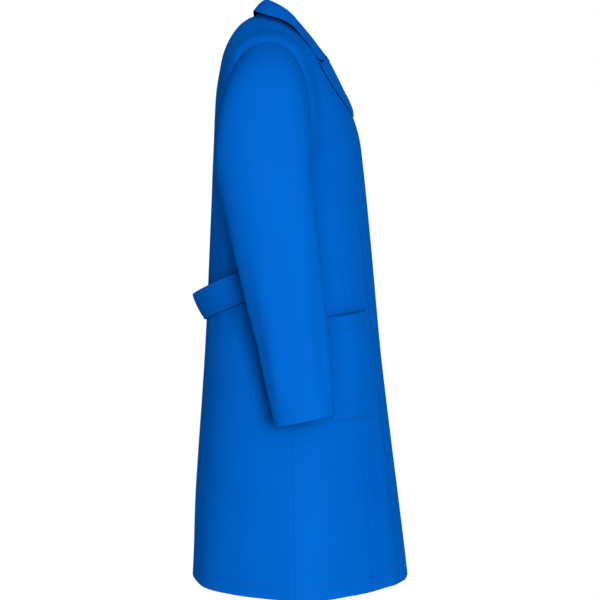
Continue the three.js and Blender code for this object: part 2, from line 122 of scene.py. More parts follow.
def armholeH(z):
    k = np.clip(np.abs(z - ARM['z']) / ARM['hz'], 0, 1)
    return ARM['hy'] * (1 - k ** ARM['n']) ** (1 / ARM['n'])


def tArmFront(z):
    return np.arccos(np.clip((sideY(z) - ARM['y'] + armholeH(z)) / (sideY(z) - frontY(z)), 0, 1) ** (nFront(z) / 2))


def tArmBack(z):
    return math.pi - np.arccos(np.clip((ARM['y'] + armholeH(z) - sideY(z)) / (backY(z) - sideY(z)), 0, 1) ** (nBack(z) / 2))


# ---- meshes -----------------------------------------------------------------------------------
def unit(v):
    return v / np.maximum(np.linalg.norm(v, axis=-1, keepdims=True), 1e-9)


def wave(P, seed, scale, count=7, stretch=(1, 1, 1)):
    """A smooth random field of the point, mean 0, about +-1; scale in mm."""
    r = np.random.default_rng(seed)
    out = 0
    for _ in range(count):
        k = r.normal(size=3)
        k = k / np.linalg.norm(k) * 2 * math.pi / (scale * r.uniform(0.7, 1.5)) * np.array(stretch)
        out = out + np.sin(P @ k + r.uniform(0, 2 * math.pi))
    return out / math.sqrt(count / 2) * 0.6


def fold_field(P):
    """The drape of the skirt: soft vertical folds that grow towards the hem. A warp of space, so that
    layers that lie on each other stay so."""
    x, y, z = P[..., 0], P[..., 1], P[..., 2]
    ys = sideY(np.clip(z, 0, 953))
    ang = np.arctan2(np.abs(x) / 1.18, -(y - ys))            # 0 at the front, pi at the back
    deg = ang / DEG
    grow = smooth((600 - z) / 640) ** 1.15
    left = x > 0
    ph = np.where(left, 7.0, 0.0)
    drift = (z / 1000) * 10
    f = np.cos((deg - 142 + ph + drift) / 63 * 2 * math.pi)
    f = f + 0.28 * np.cos(2 * (deg - 142 + ph + drift) / 63 * 2 * math.pi)
    f2 = np.cos((deg - 20 + 2 * ph) / 34 * 2 * math.pi)
    edge = np.clip(np.sin(ang) * 1.7, 0, 1) ** 1.3
    # nothing moves on the line that the front turns back about
    hold = np.where(y < 0, smooth((np.abs(np.abs(x) - FOLD_X) - 2) / 34), 1.0)
    amp = (6.4 * f * np.clip(np.sin(ang) * 1.25, 0, 1) + 1.4 * f2) * grow * edge * hold
    # quiet dimples over the whole coat
    body = smooth((905 - z) / 60)
    amp = amp + 0.55 * wave(P, 3, 150, stretch=(1, 1, 0.55)) * hold * body * np.where(y < -90, 0.35, 1)
    # cloth caught over the back under the belt, and drawn towards the underarm
    near = np.exp(-((z - 470) / 62) ** 2) * smooth((y - 30) / 70)
    amp = amp + 1.5 * near * np.cos(deg / 15 * 2 * math.pi + 0.6) * np.clip(1.15 - deg / 180, 0, 1)
    cx, cy = x / 1.0, (y - ys)
    r = np.sqrt(cx ** 2 + cy ** 2) + 1e-6
    D = np.stack([cx / r * amp, cy / r * amp, 0 * amp], -1)
    return P + D


def grid_mesh(name, P, o_in, o_out, out_dir, uv=None, disp=None):
    """A closed cloth shell from a grid of points (n, m, 3) in millimetres."""
    n, m = P.shape[:2]
    du, dv = np.gradient(P, axis=0), np.gradient(P, axis=1)
    N = unit(np.cross(du, dv))
    ref = out_dir(P) if callable(out_dir) else np.broadcast_to(np.asarray(out_dir, float), P.shape)
    s = np.sign((N * ref).sum(-1).sum())
    N = N * (s if s else 1)
    d = 0 if disp is None else disp[..., None]
    F, B = P + N * (o_out + d), P + N * (o_in + d)
    V = np.concatenate([F.reshape(-1, 3), B.reshape(-1, 3)])
    i = np.arange(n * m).reshape(n, m)
    q = np.stack([i[:-1, :-1], i[1:, :-1], i[1:, 1:], i[:-1, 1:]], -1).reshape(-1, 4)
    if s < 0:
        q = q[:, ::-1]
    k = n * m
    ring = np.concatenate([i[:, 0], i[-1, 1:], i[-2::-1, -1], i[0, -2:0:-1]])
    nxt = np.roll(ring, -1)
    rim = np.stack([ring, nxt, nxt + k, ring + k], -1)
    if s > 0:
        rim = rim[:, ::-1]
    rim = rim[:, ::-1]
    Q = np.concatenate([q, q[:, ::-1] + k, rim])
    # arc length along both ways, in metres, for the weave
    lu = np.concatenate([np.zeros((1, m)), np.cumsum(np.linalg.norm(np.diff(P, axis=0), axis=-1), 0)], 0)
    lv = np.concatenate([np.zeros((n, 1)), np.cumsum(np.linalg.norm(np.diff(P, axis=1), axis=-1), 1)], 1)
    lu = lu - lu[n // 2:n // 2 + 1]
    UV = np.stack([lu, lv], -1).reshape(-1, 2) / 1000
    UV = np.concatenate([UV, UV + [0.0, 0.0]])
    area = np.linalg.norm(np.cross(P[1:, :-1] - P[:-1, :-1], P[:-1, 1:] - P[:-1, :-1]), axis=-1).sum() / 1e6
    o = raw_mesh(name, V, Q, UV)
    sharp = np.zeros(len(o.data.edges), bool)
    ek = np.empty(len(o.data.edges) * 2, np.int32)
    o.data.edges.foreach_get("vertices", ek)
    ek = ek.reshape(-1, 2)
    on = np.zeros(2 * k, bool)
    on[ring] = True
    on[ring + k] = True
    pos = np.full(2 * k, -1)
    pos[ring] = np.arange(len(ring))
    pos[ring + k] = np.arange(len(ring))
    gap = np.abs(pos[ek[:, 0]] - pos[ek[:, 1]])
    same = (ek[:, 0] < k) == (ek[:, 1] < k)
    sharp = on[ek[:, 0]] & on[ek[:, 1]] & ((gap == 1) | (gap == len(ring) - 1)) & same
    at = o.data.attributes.new("sharp_edge", "BOOLEAN", "EDGE")
    at.data.foreach_set("value", sharp)
    w, l = float(lu[-1].max() - lu[0].min()) / 1000, float(lv[:, -1].max()) / 1000
    o["flat_w"], o["flat_l"], o["flat_a"] = w, l, float(area)
    return o


def raw_mesh(name, V, Q, UV=None):
    me = bpy.data.meshes.new(name)
    V = (np.asarray(V, float) - ORIGIN) / 1000
    me.vertices.add(len(V))
    me.vertices.foreach_set("co", V.astype(np.float32).ravel())
    Q = np.asarray(Q)
    me.loops.add(Q.size)
    me.loops.foreach_set("vertex_index", Q.astype(np.int32).ravel())
    me.polygons.add(len(Q))
    me.polygons.foreach_set("loop_start", (np.arange(len(Q)) * Q.shape[1]).astype(np.int32))
    me.polygons.foreach_set("use_smooth", np.ones(len(Q), bool))
    me.update(calc_edges=True)
    if UV is not None:
        lay = me.uv_layers.new(name="UVMap")
        lay.data.foreach_set("uv", UV[Q.ravel()].astype(np.float32).ravel())
    me.validate()
    o = bpy.data.objects.new(name, me)
    bpy.context.collection.objects.link(o)
    return o


def join(name, parts):
    """Several (V, Q) of quads into one object."""
    V, Q, k = [], [], 0
    for v, q in parts:
        V.append(v)
        Q.append(q + k)
        k += len(v)
    return raw_mesh(name, np.concatenate(V), np.concatenate(Q), np.concatenate(V)[:, :2] / 1000)


def lathe(profile, centre, axis, seg=40):
    """(V, Q) of a turned body: profile of (r, h), closed on the axis at both ends."""
    axis = unit(np.asarray(axis, float))
    a = np.array([1.0, 0, 0]) if abs(axis[0]) < 0.8 else np.array([0, 1.0, 0])
    e1 = unit(np.cross(axis, a))
    e2 = np.cross(axis, e1)
    th = np.arange(seg) / seg * 2 * math.pi
    pr = np.array(profile, float)
    pr[:, 0] = np.maximum(pr[:, 0], 0.02)
    V = centre + pr[:, None, 0, None] * (np.cos(th)[None, :, None] * e1 + np.sin(th)[None, :, None] * e2) + pr[:, None, 1, None] * axis
    n = len(pr)
    i = np.arange(n * seg).reshape(n, seg)
    q = np.stack([i[:-1], np.roll(i[:-1], -1, 1), np.roll(i[1:], -1, 1), i[1:]], -1).reshape(-1, 4)
    return V.reshape(-1, 3), q


def thread(P, out, pitch=3.2, length=2.3, r=0.22, lift=0.1):
    """A row of stitches along a polyline of points P with outward directions out. (V, Q)"""
    P, out = np.asarray(P, float), np.asarray(out, float)
    seg = np.linalg.norm(np.diff(P, axis=0), axis=1)
    s = np.concatenate([[0], np.cumsum(seg)])
    n = max(1, int(s[-1] / pitch))
    c = (np.arange(n) + 0.5) * s[-1] / n
    f = lambda q: np.stack([np.interp(q, s, P[:, k]) for k in range(3)], -1)
    g = lambda q: unit(np.stack([np.interp(q, s, out[:, k]) for k in range(3)], -1))
    prof_r = [0.35, 0.95, 1.0, 0.95, 0.35]
    prof_s = [-0.5, -0.36, 0, 0.36, 0.5]
    prof_h = [-0.5, 0.15, 0.5, 0.15, -0.5]
    rings = []
    for pr, ps, ph in zip(prof_r, prof_s, prof_h):
        q = c + ps * length
        C, O = f(q), g(q)
        T = unit(f(q + 0.5) - f(q - 0.5))
        S = unit(np.cross(T, O))
        C = C + O * (lift + ph * r)
        rings.append(np.stack([C + r * pr * (math.cos(a) * S + math.sin(a) * O) for a in np.arange(5) / 5 * 2 * math.pi], 1))
    R = np.stack(rings, 1)                                    # n, 5 rings, 5 around, 3
    V = R.reshape(-1, 3)
    i = np.arange(n * 25).reshape(n, 5, 5)
    q = np.stack([i[:, :-1], np.roll(i[:, :-1], -1, 2), np.roll(i[:, 1:], -1, 2), i[:, 1:]], -1).reshape(-1, 4)
    caps = []
    for e, flip in ((0, False), (4, True)):
        ids = i[:, e]
        c1 = np.stack([ids[:, 0], ids[:, 1], ids[:, 2], ids[:, 3]], -1)
        c2 = np.stack([ids[:, 0], ids[:, 3], ids[:, 4], ids[:, 4]], -1)
        caps.append(c1[:, ::-1] if not flip else c1)
    return V, np.concatenate([q] + caps)


def dense(lo, hi, step, near=(), fine=1.2, reach=5.0):
    """Parameters from lo to hi about step apart, and about fine apart near the given values."""
    out, x = [lo], lo
    while x < hi - 1e-9:
        d = min([abs(x - v) for v in near] + [1e9])
        h = fine if d < reach else min(step, fine + (d - reach) * 0.35)
        x = min(hi, x + h)
        out.append(x)
    if len(out) > 2 and out[-1] - out[-2] < 0.3 * fine:
        out.pop(-2)
    return np.array(out)


def dip(x, at, width=1.4, depth=0.35):
    """The groove that a row of stitches draws in the cloth."""
    return -depth * np.exp(-((x - at) / width) ** 2)


# ---- pieces ------------------------------------------------------------------------------------
def body_out(P):
    return np.stack([P[..., 0], P[..., 1] - 50, np.maximum(0, P[..., 2] - 850)], -1)


princess = prof([(0, 163), (213, 152), (400, 145), (558, 143), (650, 147), (700, 152), (724, 158), (745, 168), (758, 178), (766, 186)])
rollX = prof([(BREAK_Z, 4), (822, 22), (861, 39), (886, 54), (912, 67), (935, 76), (950, 78.5)])
neckX = prof([(953, 78), (960, 57), (968.5, 23), (970, 16)])
SEAM = 0.25                      # half the valley between two panels
CLOTHS = []                      # (piece, held, rests_on)


def finish_piece(o, nodes, body=None, blend=None, mat=None, held=None, flat=None):
    if nodes:
        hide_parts(*nodes)
    if blend:
        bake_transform(o)
    elif body:
        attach(o, body)
    o.data.materials.append(mat)
    if held:
        CLOTHS.append((o, held))
    return o


def strip(zrow, tA, tB, cols, s):
    """Grid of the body surface between two angles at each height; cols are distances in 0..1."""
    Z = zrow[None, :] + 0 * cols[:, None]
    T = tA[None, :] + (tB - tA)[None, :] * cols[:, None]
    return section(s * T, Z)


def cols_for(width, near_lo=True, near_hi=True, step=4.5):
    near = ([0.0] if near_lo else []) + ([width] if near_hi else [])
    return dense(0, width, step, near, 1.1, 4) / width


def edge_roll(P, sides, depth=0.55, width=2.2):
    """How far the cloth falls in at its seams, by distance from the grid's borders."""
    n, m = P.shape[:2]
    lu = np.concatenate([np.zeros((1, m)), np.cumsum(np.linalg.norm(np.diff(P, axis=0), axis=-1), 0)], 0)
    lv = np.concatenate([np.zeros((n, 1)), np.cumsum(np.linalg.norm(np.diff(P, axis=1), axis=-1), 1)], 1)
    d = np.zeros((n, m))
    D = {'u0': lu, 'u1': lu[-1:] - lu, 'v0': lv, 'v1': lv[:, -1:] - lv}
    for k in sides:
        d = d - depth * np.exp(-(D[k] / width) ** 2)
    return d, D


TH = 0.7          # cloth thickness in the looks
HEM_STITCH = 22.0


def build_body(M):
    for s in (-1, 1):
        L = 'right' if s < 0 else 'left'
        zb = dense(0, 968, 5.2, [0, HEM_STITCH, 652, 953, 968], 1.3, 3)
        # back
        tOut = np.where(zb < 652, math.pi / 2, np.where(zb < 888.5, tArmBack(np.clip(zb, 652, 888)), np.where(zb <= NECK_Z, math.pi / 2, tOfX(neckX(np.maximum(zb, 953)), np.maximum(zb, 953), True))))
        P = strip(zb, np.full_like(zb, math.pi), tOut, cols_for(260), s)
        P = fold_field(P)
        d, D = edge_roll(P, ['u0', 'u1', 'v1'])
        d = d + dip(P[..., 2], HEM_STITCH)
        o = grid_mesh(f'coat_back_{L}', P, -TH, 0, body_out, disp=d)
        finish_piece(o, [f'back_{L}_panel'], 'coat_shell', mat=M['cloth'], held='hung')
        # side front
        zs = dense(0, 766, 5.2, [0, HEM_STITCH, 652, 766], 1.3, 3)
        tO = np.where(zs < 652, math.pi / 2, tArmFront(np.clip(zs, 652, 888)))
        tI = np.minimum(tOfX(princess(zs), zs), tO - 0.012)
        P = strip(zs, tO, tI, cols_for(110), s)
        P = fold_field(P)
        d, D = edge_roll(P, ['u0', 'u1'])
        d = d + dip(P[..., 2], HEM_STITCH)
        o = grid_mesh(f'coat_side_front_{L}', P, -TH, 0, body_out, disp=d)
        finish_piece(o, [f'{L}_side_front_panel'], 'coat_shell', mat=M['cloth'], held='hung')
        # front below the break, behind the fold line
        zf = dense(0, 800, 5.2, [0, HEM_STITCH, 766, 800], 1.3, 3)
        tO = np.where(zf < 766, np.minimum(tOfX(princess(np.minimum(zf, 766)), zf), tArmFront(np.clip(zf, 652, 888)) - 0.012), tArmFront(np.clip(zf, 652, 888)))
        P = strip(zf, tO, tOfX(FOLD_X - 3.2 + 0 * zf, zf), cols_for(73, True, True), s)
        P = fold_field(P)
        d, D = edge_roll(P, ['u0'])
        # a narrow strip runs on behind the fold, so that nothing opens there when the front turns back
        d = d - 0.78 * smooth((4.1 - D['u1']) / 0.9)
        d = d + dip(P[..., 2], HEM_STITCH)
        o = grid_mesh(f'coat_front_{L}', P, -TH, 0, body_out, disp=d)
        finish_piece(o, [f'{L}_front_panel'], 'coat_shell', mat=M['cloth'], held='hung')
        # chest
        zc = dense(800, 953.5, 4.2, [888, 953.5], 1.3, 3)
        tO = np.where(zc < 888.5, tArmFront(np.clip(zc, 652, 888)), math.pi / 2)
        P = strip(zc, tO, tOfX(rollX(zc) - 1.5, zc), cols_for(150, True, False), s)
        P = fold_field(P)
        d, D = edge_roll(P, ['u0'])
        o = grid_mesh(f'coat_chest_{L}', P, -TH, 0, body_out, disp=d)
        finish_piece(o, [f'{L}_front_panel'], 'coat_shell', mat=M['cloth'], held='hung')
        # front band, with the rounded run into the lapel, and its facing
        over = OVER_R if s < 0 else UNDER_L
        ovz = prof([(0, over), (735, over), (765, over - 3), (788, 6), (800, -4)])
        inset = (lambda x: 0 * x) if s < 0 else (lambda x: INSET_L * smooth((62 - x) / 34))

        def band(zlo, zhi, x1, off, name, nodes, mat, slot, th, extra=0.0):
            zz = dense(zlo, zhi, 5.2, [zlo, HEM_STITCH, zhi], 1.3, 3)
            c = dense(0, x1 + over, 4.5, [x1 + over, x1 + over - 6], 1.1, 4) / (x1 + over)
            X = x1 - c[:, None] * (x1 + ovz(zz) - extra)[None, :]
            Z = zz[None, :] + 0 * X
            P = section(s * tOfX(X, Z), Z)
            P[..., 1] += inset(X)
            P = fold_field(P)
            d, D = edge_roll(P, ['u1'], 0.25, 1.2)
            d = d + dip(P[..., 2], HEM_STITCH) + dip(D['u1'], 6.0, 1.3, 0.3)
            o = grid_mesh(name, P, off - th, off, body_out, disp=d)
            st = (s * FOLD_X / 1000, 0, (800 - ORIGIN[2]) / 1000)
            en = (s * FOLD_X / 1000, 0, (625 - ORIGIN[2]) / 1000)
            finish_piece(o, nodes, blend=('coat_shell', f'{L}_front', st, en), mat=mat, held='hung')
            return P
        band(0, 800, FOLD_X, 0, f'coat_front_band_{L}', [f'{L}_front_band'], M['cloth'], 'face_cloth', TH)
        band(1.5, 797, FOLD_X - 12, -TH - 0.12, f'coat_front_facing_{L}', [f'{L}_front_facing'], M['facing'], 'facing_cloth', 0.6, 0.6)
    # back neck facing
    zz = dense(936, 967.6, 3, [967.6], 1.2, 3)
    xe = np.where(zz <= 953, 74 - (953 - zz) * 0.6, neckX(np.maximum(zz, 953)) - 1.2)
    a = np.linspace(-1, 1, 61)
    X, Z = a[:, None] * xe[None, :], zz[None, :] + 0 * a[:, None]
    T = tOfX(np.abs(X), Z, True) * np.where(X < 0, -1, 1)
    P = section(T, Z)
    o = grid_mesh('coat_neck_facing', P, -TH - 0.9, -TH - 0.15, lambda P: np.stack([P[..., 0], P[..., 1] - 30, P[..., 2] - 920], -1))
    finish_piece(o, ['back_neck_facing'], 'coat_shell', mat=M['facing'], held='hung')


# sleeve rings: inner x, inner z, outer x, outer z
RINGS = [(188.3, 652, 188.3, 888), (191.2, 649.5, 203, 885.5), (192.4, 645, 222, 875), (194, 638, 245, 856), (195.5, 630, 264, 829.5), (197, 620, 279, 792), (199, 606, 289, 750), (201.5, 585, 296, 700),
         (205, 555, 300.5, 640), (209, 520, 303.5, 575), (214, 475, 305.5, 500), (220, 425, 305.7, 430), (225, 385, 305, 385), (229, 335, 303.5, 336), (232, 289, 302, 289)]
_k = np.arange(len(RINGS)) / (len(RINGS) - 1)
r_ix, r_iz, r_ox, r_oz = [prof(list(zip(_k, [q[j] for q in RINGS]))) for j in range(4)]
r_cy = prof([(289, -7.5), (319, -2.4), (397, 9), (476, 23), (554, 37), (633, 50), (690, 57), (740, 56), (770, 52)])
r_hy = prof([(289, 47.3), (319, 48.7), (397, 54), (476, 61.5), (554, 67.6), (633, 73), (700, 76.6), (745, 72.5), (770, 66)])


def sleeve_points(s, F, W):
    ix, iz, ox, oz = r_ix(W), r_iz(W), r_ox(W), r_oz(W)
    mx, mz = (ix + ox) / 2, (iz + oz) / 2
    my, h, n = r_cy(mz), r_hy(mz), 2.2
    c, q = np.cos(F), np.sin(F)
    u, v = np.sign(c) * np.abs(c) ** (2 / n), np.sign(q) * np.abs(q) ** (2 / n)
    P = np.stack([s * (mx + u * (ox - ix) / 2), my + v * h, mz + u * (oz - iz) / 2], -1)
    P[..., 2] -= 0.2 * smooth((W - 0.6) / 0.4) * v * h
    C = np.stack([s * mx, my, mz], -1)
    return P, C


def sleeve_relief(s, F, W, P):
    """Folds of the hanging sleeve: easing at the cap, drag at the elbow, length folds lower down."""
    z = P[..., 2]
    deg = F / DEG
    ring = W * (len(RINGS) - 1)
    ease = np.exp(-((ring - 1.1) / 1.1) ** 2) * smooth((96 - np.abs(deg)) / 40)
    d = 0.35 * ease * np.cos(deg * 2 * math.pi / 15 + 0.5) * smooth(ring / 0.7)
    d = d + 1.3 * np.exp(-((ring - 0.9) / 0.9) ** 2) * smooth((110 - np.abs(deg)) / 60) * smooth(ring / 0.8)
    elbow = np.exp(-((z - 545) / 75) ** 2)
    inner = smooth((np.cos((deg - 128) * DEG) + 0.1) / 0.9)
    frnt = smooth((np.cos((deg + 100) * DEG) + 0.1) / 1.0)
    d = d + 0.9 * elbow * (inner * 0.5 + frnt) * np.cos((z + 0.42 * (deg + 180)) / 41 * 2 * math.pi)
    low = smooth((640 - z) / 200)
    d = d + 1.5 * low * np.cos((deg * 1.0 + z * 0.05 + (8 if s > 0 else 0)) / 55 * 2 * math.pi) * smooth((z - 262) / 120)
    d = d + 0.55 * wave(P, 11 if s < 0 else 12, 120)
    cuff = np.clip((W - 0.93) / 0.07, 0, 1)
    return d * (1 - 0.6 * cuff)


def build_sleeves(M):
    for s in (-1, 1):
        L = 'right' if s < 0 else 'left'
        # heights along the sleeve; fine near the armhole and the hem
        ww = np.concatenate([np.linspace(0, 0.012, 3)[:-1], np.linspace(0.012, 0.36, 56)[:-1], np.linspace(0.36, 0.94, 78)[:-1], np.linspace(0.94, 1, 18)])
        seam = 113 * DEG
        hem_w = None
        for name, f0, f1, node, cnt in (('upper', -seam, seam, 'upper_sleeve', 84), ('under', seam, 2 * math.pi - seam, 'under_sleeve', 44)):
            e = 1.2 / 70
            cc = np.concatenate([[0, 0.010, 0.024], np.linspace(0.045, 0.955, cnt), [0.976, 0.990, 1.0]])
            F = f0 + (f1 - f0) * cc
            Fg, Wg = np.meshgrid(F, ww, indexing='ij')
            P, C = sleeve_points(s, Fg, Wg)
            Fs = np.where(Fg > math.pi, Fg - 2 * math.pi, Fg)
            d = sleeve_relief(s, Fs, Wg, P)
            dd, D = edge_roll(P, ['u0', 'u1'], 0.5, 2.0)
            lv = D['v1']
            d = d * smooth((D['v0'] - 0.5) / 16) + dd
            d = d + dip(lv, 19.0, 1.3, 0.35) - 0.35 * np.exp(-(D['v0'] / 1.8) ** 2)
            n = unit(P - C)
            o = grid_mesh(f'coat_{name}_sleeve_{L}', P, -TH, 0, lambda Q, C=C: Q - C, disp=d)
            finish_piece(o, [f'{L}_{node}'], blend=('coat_shell', f'{L}_sleeve', (s * 0.1895, 0, -0.185), (s * 0.2075, 0, -0.185)), mat=M['cloth'], held='hung')
            # hem stitches
            j = int(np.argmin(np.abs(lv[len(cc) // 2] - 19.0)))
            line, out = P[:, j] + unit(P[:, j] - C[:, j]) * (d[:, j] + 0.02)[:, None], unit(P[:, j] - C[:, j])
            V, Q = thread(line, out)
            t = raw_mesh(f'coat_{name}_sleeve_hem_thread_{L}', V, Q, V[:, :2] / 1000)
            finish_piece(t, [], f'{L}_sleeve', mat=M['thread'])


def lapel_fn(s):
    ex = prof([(0, 18), (0.12, 41), (0.3, 69), (0.5, 91), (0.75, 108.5), (1, 118)])
    ez = prof([(0, 796), (0.12, 790.5), (0.3, 799), (0.5, 817), (0.75, 843), (1, 868.5)])

    def S(x, z):
        return section(s * tOfX(x, z), z)

    def nrm(x, z):
        n = unit(np.cross(S(x + 0.4, z) - S(x - 0.4, z), S(x, z + 0.4) - S(x, z - 0.4)))
        return n * -np.sign(n[..., 1:2])

    def f(Ag, Bg):
        zr = lerp(802, 889, Bg)
        xr = rollX(zr)
        r = lerp(2.2, 4.3, np.sqrt(Bg))
        xf, zf = ex(Bg), ez(Bg)
        at = lambda u: (lerp(xr, xf, u), lerp(zr, zf, u))
        P0, P1 = S(*at(0 * Ag)), S(*at(0 * Ag + 0.02))
        dvec, n0 = unit(P0 - P1), nrm(*at(0 * Ag))
        ph = math.pi * np.clip(Ag / 0.25, 0, 1)
        curl = P0 + n0 * (r * (1 - np.cos(ph)))[..., None] + dvec * (r * np.sin(ph))[..., None]
        u = np.clip((Ag - 0.25) / 0.75, 0, 1)
        lift = lerp(2 * r, 1.5, smooth(u * 1.15)) + 1.0 * np.sin(math.pi * u) * Bg
        flat = S(*at(u)) + nrm(*at(u)) * lift[..., None]
        return np.where((Ag < 0.25)[..., None], curl, flat)
    return f


STATIONS = [
    (0.00, (0, 77.5, 965.0), (0, 60, 1001.0), (0, 81.0, 974.6)),
    (0.18, (31, 77.0, 964.2), (28, 56, 996.8), (34, 80.4, 973.4)),
    (0.34, (58, 73.6, 958.3), (50, 43, 986.8), (63, 73.6, 966.9)),
    (0.48, (77.6, 56.0, 951.6), (62, 29, 976.9), (84, 53.5, 956.4)),
    (0.60, (78.0, 34, 950.6), (69, 14, 963.8), (92, 34, 949.6)),
    (0.72, (76.4, 12, 941.4), (70.5, 1, 947.9), (101, 13, 936.4)),
    (0.84, (72.6, -8, 927.2), (66, -17.5, 926.4), (111, -5, 914)),
    (0.93, (67, -18.6, 915), (61.5, -33, 906.8), (116.5, -17.2, 898.5)),
    (1.00, (59.6, -29.4, 900.2), (56, -51.5, 884), (118.5, -30.0, 878)),
]


def build_collar(M):
    st = lambda j: [prof([(q[0], q[j][k]) for q in STATIONS]) for k in range(3)]
    NS, RS, ES = st(1), st(2), st(3)
    a = np.concatenate([np.linspace(0, 0.34, 16)[:-1], np.linspace(0.34, 0.52, 17)[:-1], np.linspace(0.52, 0.97, 24)[:-1], np.linspace(0.97, 1, 5)])
    b = np.concatenate([np.linspace(0, 0.02, 6)[:-1], np.linspace(0.02, 0.98, 151)[:-1], np.linspace(0.98, 1, 6)])
    Ag, Bg = np.meshgrid(a, b, indexing='ij')
    q = np.abs(2 * Bg - 1)
    sg = np.where(Bg < 0.5, -1.0, 1.0)
    pk = lambda Fs: np.stack([f(q) for f in Fs], -1)
    N, R, E = pk(NS), pk(RS), pk(ES)
    out = unit(E - N)
    u1, u2 = np.clip(Ag / 0.42, 0, 1)[..., None], np.clip((Ag - 0.42) / 0.58, 0, 1)[..., None]
    P = np.where(Ag[..., None] < 0.42, N + (R - N) * u1, R + (E - R) * u2)
    k = np.exp(-((Ag - 0.42) / 0.07) ** 2)[..., None]
    P = P + unit((N + E) / 2 - R) * 1.3 * k
    P = P + np.where(Ag[..., None] > 0.42, out * 3.0 * np.sin(math.pi * u2), 0)
    P = P + out * (0.5 * wave(P, 21, 90))[..., None] * np.where(Ag > 0.45, 1, 0)[..., None]
    P[..., 0] *= sg
    Cn = (N + E) / 2
    Cn[..., 0] *= sg
    oo = lambda Qp: Qp - Cn
    _, D = edge_roll(P, [])
    d = dip(D['u1'], 5.5, 1.2, 0.28) + dip(D['v0'], 5.5, 1.2, 0.28) + dip(D['v1'], 5.5, 1.2, 0.28)
    d = d - 0.4 * np.exp(-(D['u1'] / 1.0) ** 2) - 0.4 * np.exp(-(D['v0'] / 1.0) ** 2) - 0.4 * np.exp(-(D['v1'] / 1.0) ** 2)
    o = grid_mesh('coat_top_collar', P, 0.05, 0.85, oo, disp=d)
    finish_piece(o, ['top_collar'], 'coat_shell', mat=M['cloth'], held='folded')
    o2 = grid_mesh('coat_under_collar', P[1:-1, 2:-2], -0.7, 0.0, lambda Qp: Qp - Cn[1:-1, 2:-2], disp=None)
    finish_piece(o2, ['under_collar'], 'coat_shell', mat=M['facing'], held='folded')
    # edge stitches on the fall
    NN = unit(P - Cn)
    i = int(np.argmin(np.abs(D['u1'][:, 80] - 5.5)))
    line, on = P[i, 4:-4] + NN[i, 4:-4] * 0.65, NN[i, 4:-4]
    V, Q = thread(line, on)
    t = raw_mesh('coat_collar_thread', V, Q, V[:, :2] / 1000)
    finish_piece(t, [], 'coat_shell', mat=M['thread'])
    # lapels
    for s in (-1, 1):
        L = 'right' if s < 0 else 'left'
        aa = np.concatenate([np.linspace(0, 0.25, 18)[:-1], np.linspace(0.25, 0.96, 30)[:-1], np.linspace(0.96, 1, 5)])
        bb = np.concatenate([np.linspace(0, 0.97, 44)[:-1], np.linspace(0.97, 1, 5)])
        Ag, Bg = np.meshgrid(aa, bb, indexing='ij')
        P = lapel_fn(s)(Ag, Bg)
        mid = (P[:1] + P[17:18]) / 2
        ref = np.where((Ag < 0.25)[..., None], P - mid, np.array([s * 0.3, -1.0, 0.0]))
        _, D = edge_roll(P, [])
        d = dip(D['u1'], 5.5, 1.2, 0.28) + dip(D['v1'], 5.5, 1.2, 0.28) - 0.35 * np.exp(-(D['u1'] / 1.0) ** 2)
        o = grid_mesh(f'coat_lapel_facing_{L}', P, 0.05, 0.8, ref, disp=d)
        finish_piece(o, [f'{L}_lapel_facing'], 'coat_shell', mat=M['cloth'], held='folded')
        o = grid_mesh(f'coat_lapel_under_{L}', P[:-1, :-1], -0.7, 0.0, ref[:-1, :-1])
        finish_piece(o, [f'{L}_lapel_under'], 'coat_shell', mat=M['cloth'], held='folded')
        i = int(np.argmin(np.abs(D['u1'][:, 20] - 5.5)))
        V, Q = thread(P[i, 1:-3] + np.array([s * 0.2, -0.72, 0.0]), np.broadcast_to([s * 0.3, -1.0, 0.0], P[i, 1:-3].shape))
        t = raw_mesh(f'coat_lapel_thread_{L}', V, Q, V[:, :2] / 1000)
        finish_piece(t, [], 'coat_shell', mat=M['thread'])


